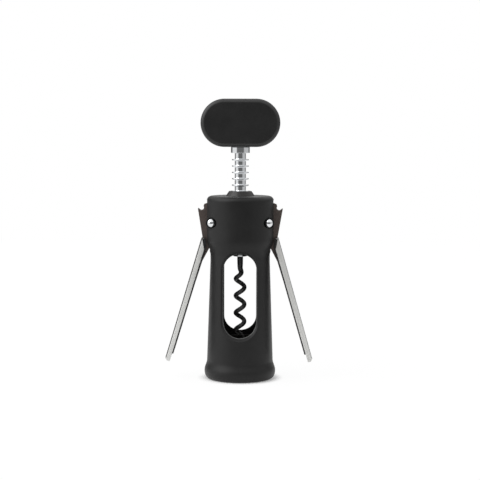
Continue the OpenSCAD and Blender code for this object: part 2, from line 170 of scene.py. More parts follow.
@dataclass(frozen=True)
class Finish:
    """A surface: its colours, how it shines and the grain that breaks it up.

    Attributes:
        name: Plain name of the material.
        slot: The record's slot that it belongs to; not used.
        colour: Main colour, sRGB.
        shade: Second colour that clouds the main one, sRGB.
        metallic: 1 on bright metal, less on dull metal and 0 elsewhere.
        roughness: Least and most roughness over the surface.
        cloud: Width of the clouds of colour and roughness, in millimetres.
        grain: Width of the surface grain, in millimetres.
        relief: Height of that grain, in millimetres.
        drawn_out: How far the grain is drawn out along X, Y and Z.
        turn: Turn of the grain about Y, in degrees.
        sheen: Weight of the soft bloom at grazing angles.
        ior: Index of refraction, left out on metals.
    """

    name: str
    slot: Slot
    colour: str
    shade: str
    metallic: float = 0.0
    roughness: tuple[float, float] = (0.4, 0.5)
    cloud: float = 9.0
    grain: float = 0.5
    relief: float = 0.01
    drawn_out: tuple[float, float, float] = (1.0, 1.0, 1.0)
    turn: float = 0.0
    sheen: float = 0.0
    ior: float | None = 1.5

    def material(self) -> Material:
        """Builds the material where it doesn't exist yet.

        Returns:
            The material.
        """
        known = bpy.data.materials.get(self.name)
        if known:
            return known
        material = bpy.data.materials.new(self.name)
        tree = blank_tree(material)
        place = add_node(tree, "ShaderNodeTexCoord").outputs["Object"]
        drawn = add_node(tree, "ShaderNodeMapping", {"vector_type": "TEXTURE"}, {
            "Vector": place, "Rotation": (0, math.radians(self.turn), 0), "Scale": self.drawn_out,
            }).outputs["Vector"]
        cloud = add_node(tree, "ShaderNodeTexNoise", inputs={
            "Vector": place, "Scale": per_mm(self.cloud), "Detail": 3.0, "Roughness": 0.55}).outputs["Fac"]
        grain = add_node(tree, "ShaderNodeTexNoise", inputs={
            "Vector": drawn, "Scale": per_mm(self.grain), "Detail": 2.0, "Roughness": 0.6}).outputs["Fac"]
        mixed = add_node(tree, "ShaderNodeMath", {"operation": "MULTIPLY_ADD"}, {
            0: grain, 1: GRAIN_SHARE, 2: cloud}).outputs["Value"]
        spread = {"Value": mixed, **NOISE_SPAN}
        tint = add_node(tree, "ShaderNodeMapRange", inputs=spread).outputs["Result"]
        colour = add_node(tree, "ShaderNodeMix", {"data_type": "RGBA"}, {
            "Factor": tint, 6: linear(self.colour), 7: linear(self.shade)}).outputs[2]
        rough = add_node(tree, "ShaderNodeMapRange", inputs={
            **spread, "To Min": self.roughness[0], "To Max": self.roughness[1]}).outputs["Result"]
        bump = add_node(tree, "ShaderNodeBump", inputs={
            "Strength": 1.0, "Distance": self.relief * MM, "Height": grain}).outputs["Normal"]
        sockets = {"Base Color": colour, "Roughness": rough, "Normal": bump, "Metallic": self.metallic,
                   "Sheen Weight": self.sheen}
        if self.ior:
            sockets["IOR"] = self.ior
        shader = add_node(tree, "ShaderNodeBsdfPrincipled", inputs=sockets)
        add_node(tree, "ShaderNodeOutputMaterial", inputs={"Surface": shader.outputs["BSDF"]})
        return material


# Moulded shell under a soft-touch paint: dull black that blooms grey where light grazes it.
SOFT_TOUCH = Finish("soft_touch_black_moulding", Slot.BODY, "#191919", "#1e1e1e", roughness=(0.4, 0.48), grain=0.45,
                    relief=0.004, sheen=0.03, ior=1.31)
# The same paint, paler and glossier, on the inner border of the windows' chamfers: a painted highlight line.
PAINTED_LIP_HIGHLIGHT = Finish("soft_touch_black_painted_lip_highlight", Slot.BODY, "#4e4e4e", "#565656", roughness=(0.3, 0.38), grain=0.45,
                  relief=0.002, ior=1.4)
# Injection-moulded nylon: black, a little shinier than the painted shell.
NYLON = Finish("moulded_black_nylon", Slot.BUSH, "#1c1b1a", "#22201f", roughness=(0.32, 0.4), grain=0.4, relief=0.004,
               ior=1.42)
# Thermoplastic rubber overmould: flat black with a very fine matt grain.
RUBBER = Finish("overmoulded_black_rubber", Slot.GRIP, "#191919", "#1e1e1e", roughness=(0.4, 0.5), grain=0.5,
                relief=0.006, sheen=0.05, ior=1.38)
# The same rubber, paler and smoother, on the middle of the slab's rounded edges: a painted highlight line round its
# faces.
RIM_HIGHLIGHT_RUBBER = Finish("overmoulded_black_rubber_painted_rim_highlight", Slot.GRIP, "#262626", "#2b2b2b", roughness=(0.36, 0.44),
                     grain=0.5, relief=0.004, sheen=0.05, ior=1.4)
# Turned steel with bright chrome plate: mirror-like, with the faint rings of the lathe.
CHROME = Finish("bright_chrome_on_turned_steel", Slot.CHROME, "#e6e8ea", "#dddfe1", metallic=1.0,
                roughness=(0.06, 0.13), cloud=4.0, grain=0.35, relief=0.0006, drawn_out=(10.0, 10.0, 1.0), ior=None)
# Low-friction coating on steel wire: deep black with a narrow gloss.
COATED = Finish("black_low_friction_coating", Slot.WORM, "#272727", "#2d2d2d", roughness=(0.34, 0.44), grain=0.4,
                relief=0.003)
# Sintered steel blackened in steam: brown-black, grainy and dull.
SINTERED = Finish("steam_blackened_sintered_steel", Slot.GEAR, "#463d39", "#524843", metallic=0.2,
                  roughness=(0.45, 0.6), cloud=3.0, grain=0.35, relief=0.012)
# Satin steel, darker, on the arm's bent outer edges: painted shade along them.
BEND_SHADE_STEEL = Finish("satin_steel_bend_painted_shade", Slot.ARM, "#4a4a48", "#545452", metallic=0.6, roughness=(0.4, 0.5),
                cloud=14.0, grain=0.6, relief=0.004, ior=None)
# Moulded strip in the arm's open side.
STRIP = Finish("moulded_black_strip", Slot.STRIP, "#191919", "#1f1f1f", roughness=(0.4, 0.5), grain=0.4, relief=0.004)


def satin_steel(side: str, lean: float) -> Finish:
    """Returns satin steel sheet with brush lines along the arm's lean, drawn coarser than real so that they show."""
    return Finish(f"satin_brushed_steel_{side}", Slot.ARM, "#e6e6e4", "#aaaaa7", metallic=0.4, roughness=(0.56, 0.66),
                  cloud=200.0, grain=2.2, relief=0.03, drawn_out=(1.0, 1.0, 200.0), turn=lean, ior=None)


def mesh_object(bm: BMesh, name: str) -> Object:
    """Makes a plain mesh object of a shape.

    Args:
        bm: The shape, freed here.
        name: Name of the object and its mesh.

    Returns:
        The new object, in the scene.
    """
    mesh = bpy.data.meshes.new(name)
    bm.to_mesh(mesh)
    bm.free()
    made = bpy.data.objects.new(name, mesh)
    bpy.context.scene.collection.objects.link(made)
    return made


def finish_piece(bm: BMesh, name: str, body: Body, finish: Finish, nodes: Sequence[str],
                 sharp: float = 40.0) -> Object:
    """Makes a mesh object of a bmesh, dresses it, and sets it on its body in place of its CAD nodes.

    Args:
        bm: The finished shape, freed here.
        name: Name of the piece.
        body: Body that it moves with.
        finish: Its surface.
        nodes: CAD nodes that it stands for.
        sharp: Angle in degrees above which an edge stays crisp.

    Returns:
        The new object.
    """
    bmesh.ops.scale(bm, vec=(MM,) * 3, verts=bm.verts)
    bmesh.ops.remove_doubles(bm, verts=bm.verts, dist=MERGE * MM)
    bmesh.ops.recalc_face_normals(bm, faces=bm.faces)
    for face in bm.faces:
        face.smooth = True
    piece = mesh_object(bm, name)
    piece.data.set_sharp_from_angle(angle=math.radians(sharp))
    piece.data.materials.append(finish.material())
    piece.modifiers.new("flat_faces_stay_flat", "WEIGHTED_NORMAL").keep_sharp = True
    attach(piece, body.value)
    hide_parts(*nodes)
    log.info("%s: %d faces for %s", name, len(piece.data.polygons), ", ".join(nodes))
    return piece


def corners_of(geom: Iterable) -> list[BMVert]:
    """Returns the corners among the elements that an operator made."""
    return [g for g in geom if isinstance(g, BMVert)]


def round_off(bm: BMesh, geom: Sequence, width: float, segments: int, affect: str = "EDGES") -> list[BMFace]:
    """Rounds edges, or corners where VERTICES are affected, and returns the faces of the rounding."""
    return bmesh.ops.bevel(bm, geom=geom, offset=width, offset_type="OFFSET", affect=affect, segments=segments,
                           profile=0.5, material=-1, clamp_overlap=True)["faces"]


def spin_round(bm: BMesh, geom: Sequence, steps: int) -> None:
    """Turns corners and edges once round the Z axis."""
    bmesh.ops.spin(bm, geom=geom, cent=ORIGIN, axis=UPRIGHT, angle=FULL_TURN, steps=steps, use_merge=True)


def upright_circle(bm: BMesh, count: int, radius: float, filled: bool = False) -> list[BMVert]:
    """Draws a circle round the Y axis that has its corners beside the X and Z axes, not on them.

    Args:
        bm: The shape that it is drawn in.
        count: Number of its corners.
        radius: Its radius.
        filled: Whether it has a face.

    Returns:
        Its corners.
    """
    ring = bmesh.ops.create_circle(bm, segments=count, radius=radius, cap_ends=filled)["verts"]
    for turn in (Matrix.Rotation(math.pi / count, 4, "Z"), QUARTER_X):
        bmesh.ops.rotate(bm, verts=ring, cent=ORIGIN, matrix=turn)
    return ring


def extrude_ring(bm: BMesh, ring: Sequence[BMEdge]) -> tuple[list[BMEdge], dict[BMVert, BMVert]]:
    """Extrudes a ring of edges and leaves the new one in place.

    Args:
        bm: The shape.
        ring: Its edges to extrude.

    Returns:
        The new edges, and each new corner with the one that it came from.
    """
    drawn = bmesh.ops.extrude_edge_only(bm, edges=ring)["geom"]
    fresh = corners_of(drawn)
    sources = {v: next(e.other_vert(v) for e in v.link_edges if e.other_vert(v) not in fresh) for v in fresh}
    return [g for g in drawn if isinstance(g, BMEdge)], sources


def turned(section: Sequence[tuple[float, float]], rounds: float = 0.0, corners: Sequence[int] = (),
           steps: int = TURN_STEPS) -> BMesh:
    """Turns a closed section round the Z axis, as on a lathe.

    Args:
        section: Corners of the section as radius and height, all off the axis or with two of them on it.
        rounds: Radius that corners are rounded to.
        corners: Numbers of the corners to round.
        steps: Steps of the turn.

    Returns:
        The turned shape.
    """
    bm = bmesh.new()
    points = [bm.verts.new((r, 0, z)) for r, z in section]
    bm.faces.new(points)
    if corners:
        round_off(bm, [points[i] for i in corners], rounds, 4, "VERTICES")
    bmesh.ops.delete(bm, geom=bm.faces[:], context="FACES_ONLY")
    on_axis = [e for e in bm.edges if all(abs(v.co.x) < ON_AXIS for v in e.verts)]
    bmesh.ops.delete(bm, geom=on_axis, context="EDGES")
    spin_round(bm, bm.verts[:] + bm.edges[:], steps)
    bmesh.ops.remove_doubles(bm, verts=bm.verts, dist=MERGE)
    return bm


def softened_node(node: str, width: float) -> BMesh:
    """Copies a CAD node's mesh, joins its triangles into flat faces and rounds its hard edges.

    Args:
        node: Name of the CAD node.
        width: Width of the rounding, in millimetres.

    Returns:
        The rounded copy, in millimetres.
    """
    bm = bmesh.new()
    bm.from_mesh(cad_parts[node].data)
    bmesh.ops.scale(bm, vec=(1 / MM,) * 3, verts=bm.verts)
    bmesh.ops.remove_doubles(bm, verts=bm.verts, dist=WELD)
    bmesh.ops.dissolve_limit(bm, angle_limit=FLAT_FACE, verts=bm.verts, edges=bm.edges)
    round_off(bm, [e for e in bm.edges if len(e.link_faces) == 2 and e.calc_face_angle() > HARD_EDGE], width, 2)
    return bm


def ease(low: float, high: float, share: float) -> float:
    """Returns a smooth step from low to high as share goes from 0 to 1."""
    return low + (high - low) * (1 - math.cos(math.pi * min(1.0, max(0.0, share)))) / 2


def spaced(first: float, last: float, steps: int) -> list[float]:
    """Returns evenly spaced values from first to last, with both of them."""
    return [first + (last - first) * i / steps for i in range(steps + 1)]


@dataclass
class BellBody:
    """The moulded bell: base, skirt with two windows, waist and the round head that holds the levers.

    Attributes:
        height: Height of the bell without its boss.
        head_r: Radius of the head.
        head_z: Height where the shoulder reaches that radius.
        head_round: Rounding of the head's top edge.
        waist: Radius and height of the waist.
        skirt: Radius and height of the skirt's lower end.
        bulge: Radius and height of the widest part of the base.
        foot_r: Outer radius of the ring that it stands on.
        seat_r: Radius of the bore for the bottle seat.
        wall: Wall of the bell.
        window_w: Clear width of a window.
        window: Lower and upper end of a window.
        lip: Width of the chamfer round a window.
        lip_edge: Rounding of that chamfer's borders.
        lip_room: Width of the plain band that the chamfer is cut into.
        panel: Lower and upper end of the panel that holds a window.
        seat_z: Top of the wider bore for the bottle seat.
        deck_z: Underside of the deck over the windows.
        shaft_r: Radius of the hole that the bushes sit in.
        top_ring: Width of the flat ring round that hole, under the boss.
        half_steps: Steps of half a turn.
        curve_steps: Steps of each curve of the base and of the head's top edge.
        head_steps: Steps of the head's straight side.
        side_cuts: Cuts along a window's straight sides.
        spoke_cuts: Cuts between a window and its panel's border.
        slot_half: Half width of the lever slot.
        slot_z: Lower and upper end of the lever slot.
        side_slot: Where the slot deepens at the sides, and its lower end there.
        pivot: X and Z of the right pivot.
        pad_r: Radius of the pads round the rivets.
        recess_r: Radius of the recesses for the rivets' heads.
        pad_root: Distance of a pad's inner end from the middle plane.
        pad_y: Distance of a recess's floor from the middle plane.
        pad_rim: Height of the rim round that floor.
    """

    height: float = BELL_TOP
    head_r: float = 21.8
    head_z: float = 91.0
    head_round: float = 3.3
    waist: tuple[float, float] = (19.2, 80.5)
    skirt: tuple[float, float] = (21.5, 12.3)
    bulge: tuple[float, float] = (23.2, 5.0)
    foot_r: float = 20.4
    seat_r: float = SEAT_R
    wall: float = 3.0
    window_w: float = 21.2
    window: tuple[float, float] = (28.5, 82.6)
    lip: float = 1.9
    lip_edge: float = 0.4
    lip_room: float = 3.0
    panel: tuple[float, float] = (20.0, 88.0)
    seat_z: float = SEAT_Z
    deck_z: float = DECK_Z
    shaft_r: float = 6.9
    top_ring: float = 4.0
    half_steps: int = 36
    curve_steps: int = 8
    head_steps: int = 4
    side_cuts: int = 11
    spoke_cuts: int = 7
    slot_half: float = 3.8
    slot_z: tuple[float, float] = (87.7, 116.3)
    side_slot: tuple[float, float] = (17.0, 83.5)
    pivot: tuple[float, float] = PIVOT
    pad_r: float = 3.6
    recess_r: float = 3.25
    pad_root: float = 1.0
    pad_y: float = PAD_Y
    pad_rim: float = 0.2

    def skirt_r(self, z: float) -> float:
        """Returns the radius of the straight skirt at a height."""
        return self.skirt[0] + (self.waist[0] - self.skirt[0]) * (z - self.skirt[1]) / (
            self.waist[1] - self.skirt[1])

    def outer(self, z: float) -> float:
        """Follows the bell's outside through foot, base, skirt and shoulder.

        Args:
            z: Height.

        Returns:
            The outer radius at that height.
        """
        if z < self.bulge[1]:
            return self.foot_r + (self.bulge[0] - self.foot_r) * math.sqrt(1 - (1 - z / self.bulge[1]) ** 2)
        if z < self.skirt[1]:
            return ease(self.bulge[0], self.skirt[0], (z - self.bulge[1]) / (self.skirt[1] - self.bulge[1]))
        if z < self.waist[1]:
            return self.skirt_r(z)
        return ease(self.waist[0], self.head_r, (z - self.waist[1]) / (self.head_z - self.waist[1]))

    def inner(self, z: float) -> float:
        """Returns the inner radius of the bell's wall at a height."""
        return self.skirt_r(z) - self.wall

    def window_panel(self, radius: Callable[[float], float], panel: tuple[float, float], lip: float) -> BMesh:
        """Builds half of a wall with a window in it, first unrolled flat and then wrapped on its radius.

        Args:
            radius: Wall radius by height.
            panel: Lower and upper end of the half wall.
            lip: Width of a plain band round the window, or 0 for none.

        Returns:
            The half wall that faces -Y.
        """
        bm = bmesh.new()
        half_w = self.window_w / 2
        low, high = self.window[0] + half_w, self.window[1] - half_w
        count = 2 * self.half_steps
        ring = upright_circle(bm, count, half_w)
        upper = [v for v in ring if v.co.z > 0]
        bmesh.ops.translate(bm, verts=upper, vec=(0, 0, high))
        bmesh.ops.translate(bm, verts=[v for v in ring if v not in upper], vec=(0, 0, low))
        sides = [e for e in bm.edges if e.calc_length() > (high - low) / 2]
        bmesh.ops.subdivide_edges(bm, edges=sides, cuts=self.side_cuts)
        first = math.sin(math.pi / count) * half_w

        def grown(co: Vector, by: float) -> Vector:
            """Returns a point of the window's outline moved outwards."""
            middle = Vector((0, 0, min(high, max(low, co.z))))
            return co + (co - middle).normalized() * by

        def on_border(co: Vector) -> Vector:
            """Returns where a point of the window's outline lands on the panel's border, X as an angle."""
            share = (co.z - low + first) / (high - low + 2 * first)
            if 0 < share < 1 and low - first < co.z < high + first:
                return Vector((math.copysign(math.pi / 2, co.x), 0, panel[0] + (panel[1] - panel[0]) * share))
            arc = math.atan2(co.x, abs(co.z - (high if co.z > high else low)))
            reach = math.pi / 2 - math.pi / count
            return Vector((arc / reach * math.pi / 2, 0, panel[1] if co.z > high else panel[0]))

        outline = {v: v.co.copy() for v in bm.verts}
        rim = bm.edges[:]
        for step in (lip, None) if lip else (None,):
            rim, sources = extrude_ring(bm, rim)
            for vert, source in sources.items():
                outline[vert] = outline[source]
                vert.co = on_border(outline[source]) if step is None else grown(outline[source], step)
        border = {v for e in rim for v in e.verts}
        for vert in bm.verts:
            if vert not in border:
                vert.co.x = math.asin(vert.co.x / radius(vert.co.z))
        spokes = [e for e in bm.edges if len(border.intersection(e.verts)) == 1]
        bmesh.ops.subdivide_edges(bm, edges=spokes, cuts=self.spoke_cuts, use_grid_fill=True)
        for vert in bm.verts:
            angle, z = vert.co.x, vert.co.z
            vert.co = (radius(z) * math.sin(angle), -radius(z) * math.cos(angle), z)
        return bm

    def window_edges(self, bm: BMesh) -> list[BMEdge]:
        """Picks the open edges that run round a window.

        Args:
            bm: The wall with the window.

        Returns:
            The edges.
        """
        slack = 0.1
        half_w, low, high = self.window_w / 2 + slack, self.window[0] - slack, self.window[1] + slack
        return [e for e in bm.edges if e.is_boundary
                and all(abs(v.co.x) < half_w and low < v.co.z < high for v in e.verts)]

    def half_bell(self) -> BMesh:
        """Builds the front half of the bell's wall round its window, with a chamfered lip whose inner border gets a
        painted highlight.

        Returns:
            The half wall, open at its borders.
        """
        bm = self.window_panel(self.outer, self.panel, self.lip_room)
        lip = self.window_edges(bm)
        mesh = bpy.data.meshes.new("inner_wall")
        inner = self.window_panel(self.inner, (self.seat_z, self.deck_z), 0.0)
        inner.to_mesh(mesh)
        inner.free()
        bm.from_mesh(mesh)
        bpy.data.meshes.remove(mesh)
        bmesh.ops.bridge_loops(bm, edges=self.window_edges(bm))
        bmesh.ops.recalc_face_normals(bm, faces=bm.faces)
        chamfer = set(round_off(bm, [e for e in lip if e.is_valid], self.lip, 1))
        rims = [e for e in {e for f in chamfer for e in f.edges} if len(chamfer.intersection(e.link_faces)) == 1]
        # The chamfer's inner border gets the paler finish: a painted highlight.
        for face in round_off(bm, rims, self.lip_edge, 3):
            middle = face.calc_center_median()
            face.material_index = int(self.outer(middle.z) - middle.xy.length > self.lip / 2)
        return bm

    def turned_ends(self, bm: BMesh) -> None:
        """Adds the base below the windows and the head above them to the bell.

        Args:
            bm: The bell that they are added to.
        """
        low, high = self.panel
        quarter = spaced(0, math.pi / 2, self.curve_steps)
        heights = [self.bulge[1] * (1 - math.cos(a)) for a in quarter]
        heights += spaced(self.bulge[1], self.skirt[1], self.curve_steps)[1:] + [low]
        base = [(self.seat_r, self.seat_z), (self.seat_r, 0.0)] + [(self.outer(z), z) for z in heights]
        corner = (self.head_r - self.head_round, self.height - self.head_round)
        head = [(self.outer(z), z) for z in (high, (high + self.head_z) / 2)]
        head += [(self.head_r, z) for z in spaced(self.head_z, corner[1], self.head_steps)[:-1]]
        head += [(corner[0] + self.head_round * math.cos(a), corner[1] + self.head_round * math.sin(a))
                 for a in quarter]
        head += [(self.shaft_r + self.top_ring, self.height), (self.shaft_r, self.height),
                 (self.shaft_r, self.deck_z), (self.inner(self.deck_z), self.deck_z)]
        step = [(self.inner(self.seat_z), self.seat_z), (self.seat_r, self.seat_z)]
        for outline in (base, head, step):
            verts = [bm.verts.new((r, 0, z)) for r, z in outline]
            edges = [bm.edges.new(pair) for pair in zip(verts, verts[1:])]
            spin_round(bm, verts + edges, 2 * (self.half_steps - 1))

    def cutter(self, name: str, bm: BMesh) -> Object:
        """Makes a plain object of a cutting shape."""
        bmesh.ops.recalc_face_normals(bm, faces=bm.faces)
        return mesh_object(bm, name)

    def pivot_rods(self, radius: float, near: float, far: float) -> BMesh:
        """Builds rods along Y at both pivots and on both sides.

        Args:
            radius: Radius of the rods.
            near: Distance of their inner ends from the middle plane.
            far: Distance of their outer ends.

        Returns:
            The four rods.
        """
        bm = bmesh.new()
        for side in (-1, 1):
            for face in (-1, 1):
                place = Matrix.Translation((side * self.pivot[0], face * (near + far) / 2, self.pivot[1]))
                bmesh.ops.create_cone(bm, cap_ends=True, segments=PIN_STEPS, radius1=radius, radius2=radius,
                                      depth=far - near, matrix=place @ QUARTER_X)
        return bm

    def slot_boxes(self) -> BMesh:
        """Builds the shape of the slot that the lever heads turn in.

        Returns:
            Three boxes, the outer two deeper.
        """
        bm = bmesh.new()
        far = 2 * self.head_r
        spans = [(-far, far, self.slot_z[0])]
        spans += [(self.side_slot[0], far, self.side_slot[1]), (-far, -self.side_slot[0], self.side_slot[1])]
        for left, right, floor in spans:
            middle = Vector(((left + right) / 2, 0, (floor + self.slot_z[1]) / 2))
            size = Matrix.Diagonal((right - left, 2 * self.slot_half, self.slot_z[1] - floor, 1))
            bmesh.ops.create_cube(bm, size=1, matrix=Matrix.Translation(middle) @ size)
        return bm

    def cut(self, bm: BMesh) -> BMesh:
        """Adds the pivot pads and cuts the lever slot and the rivets' recesses.

        Args:
            bm: The closed bell, freed here.

        Returns:
            The bell with its cuts.
        """
        bmesh.ops.triangulate(bm, faces=[f for f in bm.faces if len(f.verts) > 3])
        blank = self.cutter("bell_blank", bm)
        for finish in (SOFT_TOUCH, PAINTED_LIP_HIGHLIGHT):
            blank.data.materials.append(finish.material())
        pads = self.pivot_rods(self.pad_r, self.pad_root, self.pad_y + self.pad_rim)
        recesses = self.pivot_rods(self.recess_r, self.pad_y, 2 * self.pad_y)
        work = ((self.cutter("pads", pads), "UNION"), (self.cutter("slot", self.slot_boxes()), "DIFFERENCE"),
                (self.cutter("recesses", recesses), "DIFFERENCE"))
        for tool, operation in work:
            change = blank.modifiers.new(tool.name, "BOOLEAN")
            change.object, change.operation, change.solver = tool, operation, "EXACT"
            change.use_self = operation == "DIFFERENCE"
        shaped = blank.evaluated_get(bpy.context.evaluated_depsgraph_get())
        out = bmesh.new()
        out.from_mesh(shaped.to_mesh())
        shaped.to_mesh_clear()
        for tool in [blank] + [tool for tool, _ in work]:
            mesh = tool.data
            bpy.data.objects.remove(tool)
            bpy.data.meshes.remove(mesh)
        return out

    def build(self) -> None:
        """Builds and dresses the bell."""
        bm = self.half_bell()
        copy = bmesh.ops.duplicate(bm, geom=bm.verts[:] + bm.edges[:] + bm.faces[:])["geom"]
        bmesh.ops.rotate(bm, verts=corners_of(copy), cent=ORIGIN, matrix=Matrix.Rotation(math.pi, 3, "Z"))
        self.turned_ends(bm)
        bmesh.ops.remove_doubles(bm, verts=bm.verts, dist=WELD)
        bell = finish_piece(self.cut(bm), "bell", Body.SHELL, SOFT_TOUCH, ["body_shell"], sharp=35)
        # The second material is the painted highlight on the windows' lips.
        bell.data.materials.append(PAINTED_LIP_HIGHLIGHT.material())


@dataclass
class BellFittings:
    """What is pressed into the bell: both guide bushes, the bottle seat and the pivot rivets.

    Attributes:
        bore_r: Bore of the bushes, round the rack.
        boss_outline: Radius and height of the upper bush's outer corners, from its shank up to the boss's top.
        deck_outline: The same of the lower bush, from its flange up to its shank's top.
        seat: Bore radius, outer radius and top of the bottle seat.
        ledge: Hole radius, lower and upper end of its stop ledge.
        boss_edge: Rounding of the upper bush's edges.
        deck_edge: Rounding of the lower bush's edges.
        seat_edge: Rounding of the bottle seat's edges.
        pin_r: Radius of a rivet's pin.
        dome: Radius and height of a rivet's head.
        dome_steps: Steps from a head's rim to its middle.
        pad_y: Distance of a head's seat from the middle plane.
        pivot: X and Z of the right pivot.
    """

    bore_r: float = 5.55
    boss_outline: tuple[tuple[float, float], ...] = (
        (6.88, 113.3), (6.88, BELL_TOP), (9.35, BELL_TOP), (7.25, 122.3))
    deck_outline: tuple[tuple[float, float], ...] = ((8.4, 82.0), (8.4, DECK_Z), (6.88, DECK_Z), (6.88, 89.7))
    seat: tuple[float, float, float] = (16.6, SEAT_R, SEAT_Z)
    ledge: tuple[float, float, float] = (9.5, 19.5, 22.0)
    boss_edge: float = 0.6
    deck_edge: float = 0.25
    seat_edge: float = 0.4
    pin_r: float = 2.0
    dome: tuple[float, float] = (2.9, 1.9)
    dome_steps: int = 10
    pad_y: float = PAD_Y
    pivot: tuple[float, float] = PIVOT

    def build_bushes(self) -> None:
        """Builds the boss with its shank, and the bush in the deck."""
        for name, node, outline, edge in (("boss_bush", "top_guide_bush", self.boss_outline, self.boss_edge),
                                          ("deck_bush", "lower_guide_bush", self.deck_outline, self.deck_edge)):
            section = [(self.bore_r, outline[0][1]), *outline, (self.bore_r, outline[-1][1])]
            finish_piece(turned(section, edge, (0, 1, 4, 5)), name, Body.SHELL, NYLON, [node])

    def build_seat(self) -> None:
        """Builds the ring inside the base that stops on a bottle's neck."""
        bore, outer, top = self.seat
        hole, low, high = self.ledge
        seat = turned([(bore, 0), (outer, 0), (outer, top), (bore, top), (bore, high), (hole, high), (hole, low),
                       (bore, low)], self.seat_edge, (0, 3, 5, 6))
        finish_piece(seat, "bottle_seat_ring", Body.SHELL, NYLON, ["bottle_seat"])

    def build_rivets(self) -> None:
        """Builds both pivot rivets, each a pin with a dome at either end."""
        width, high = self.dome
        ball = (width ** 2 + high ** 2) / (2 * high)
        reach = math.asin(width / ball)
        half = [(self.pin_r, self.pad_y)]
        half += [(ball * math.sin(a), self.pad_y + high - ball + ball * math.cos(a))
                 for a in spaced(reach, 0, self.dome_steps)]
        whole = [(r, -z) for r, z in reversed(half)] + half
        for side, name in ((-1, "left"), (1, "right")):
            rivet = turned(whole, steps=PIN_STEPS)
            place = Matrix.Translation((side * self.pivot[0], 0, self.pivot[1])) @ QUARTER_X
            bmesh.ops.transform(rivet, matrix=place, verts=rivet.verts)
            finish_piece(rivet, f"domed_rivet_{name}", Body.SHELL, CHROME, [f"pivot_rivet_{name}"])

    def build(self) -> None:
        """Builds every fitting of the bell."""
        self.build_bushes()
        self.build_seat()
        self.build_rivets()


@dataclass
class Spindle:
    """The ringed rack sleeve, and the rod in it with its two collars.

    Attributes:
        rod_r: Radius of the rod.
        bore_gap: Gap between rod and sleeve.
        core_r: Radius of the sleeve between its rings.
        ring_r: Radius over the rings.
        pitch: Spacing of the rings.
        tip: Width of a ring at its rim.
        root: Width of a ring at the core.
        rings: Rings below and above the one nearest the pivots.
        ring_z: Height of that one.
        ring_edge: Rounding of the rings' rims.
        ring_steps: Steps of the sleeve's turn.
        collar_edges: Rounding of the neck collar's rims and of the end collar's.
    """

    rod_r: float = 2.5
    bore_gap: float = 0.05
    core_r: float = 3.6
    ring_r: float = 5.45
    pitch: float = 4.1
    tip: float = 0.8
    root: float = 1.7
    rings: tuple[int, int] = (4, 10)
    ring_z: float = 101.4
    ring_edge: float = 0.25
    ring_steps: int = 72
    collar_edges: tuple[float, float] = (0.35, 0.6)

    def build_sleeve(self) -> None:
        """Builds the sleeve with its round ring teeth."""
        low, high = (corner.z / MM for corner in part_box("rack_sleeve"))
        bore = self.rod_r + self.bore_gap
        section = [(bore, low), (self.core_r, low)]
        tips = []
        for k in range(-self.rings[0], self.rings[1] + 1):
            z = self.ring_z + k * self.pitch
            tips += [len(section) + 1, len(section) + 2]
            section += [(self.core_r, z - self.root / 2), (self.ring_r, z - self.tip / 2),
                        (self.ring_r, z + self.tip / 2), (self.core_r, z + self.root / 2)]
        section += [(self.core_r, high), (bore, high)]
        finish_piece(turned(section, self.ring_edge, tips, self.ring_steps), "ringed_sleeve", Body.RACK, CHROME,
                     ["rack_sleeve"], sharp=30)

    def build_ring(self, name: str, node: str, edge: float) -> None:
        """Builds a collar on the rod from its node's box.

        Args:
            name: Name of the piece.
            node: CAD node that it stands for.
            edge: Rounding of its rims.
        """
        low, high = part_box(node)
        outer = (high.x - low.x) / 2 / MM
        collar = turned([(self.rod_r, low.z / MM), (outer, low.z / MM), (outer, high.z / MM),
                         (self.rod_r, high.z / MM)], edge, (1, 2))
        finish_piece(collar, name, Body.SPINDLE, CHROME, [node])

    def build(self) -> None:
        """Builds the sleeve and both collars; the rod keeps its CAD shape."""
        self.build_sleeve()
        for node, edge in zip(("neck_collar", "end_collar"), self.collar_edges):
            self.build_ring(f"bright_{node}", node, edge)


@dataclass
class Handle:
    """The soft slab on top of the spindle.

    Attributes:
        edge: Rounding of the slab's edges.
        edge_steps: Steps of that rounding.
        highlight_band: Least and most share of a face's normal along Y where the rounding gets a painted highlight.
        steps: Steps of each round end.
    """

    edge: float = 2.8
    edge_steps: int = 8
    highlight_band: tuple[float, float] = (0.5, 0.97)
    steps: int = 40

    def build(self) -> None:
        """Builds the soft grip; its core and pin keep their CAD shapes inside it."""
        low, high = (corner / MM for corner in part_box("handle_grip"))
        size = high - low
        bm = bmesh.new()
        ring = upright_circle(bm, 2 * self.steps, size.z / 2, filled=True)
        for side in (-1, 1):
            bmesh.ops.translate(bm, verts=[v for v in ring if v.co.x * side > 0],
                                vec=(side * (size.x - size.z) / 2, 0, 0))
        slab = bmesh.ops.extrude_face_region(bm, geom=bm.faces[:])["geom"]
        bmesh.ops.translate(bm, verts=corners_of(slab), vec=(0, size.y, 0))
        bmesh.ops.translate(bm, verts=bm.verts, vec=(0, -size.y / 2, 0))
        bmesh.ops.recalc_face_normals(bm, faces=bm.faces)
        rims = [e for e in bm.edges if abs(e.verts[0].co.y - e.verts[1].co.y) < WELD]
        edges = round_off(bm, rims, self.edge, self.edge_steps)
        bm.normal_update()
        # The middle of the rounding gets the paler rubber: a painted highlight.
        for face in edges:
            face.material_index = int(self.highlight_band[0] < abs(face.normal.y) < self.highlight_band[1])
        bmesh.ops.translate(bm, verts=bm.verts, vec=(low + high) / 2)
        grip = finish_piece(bm, "soft_slab_grip", Body.SPINDLE, RUBBER, ["handle_grip"], sharp=60)
        grip.data.materials.append(RIM_HIGHLIGHT_RUBBER.material())


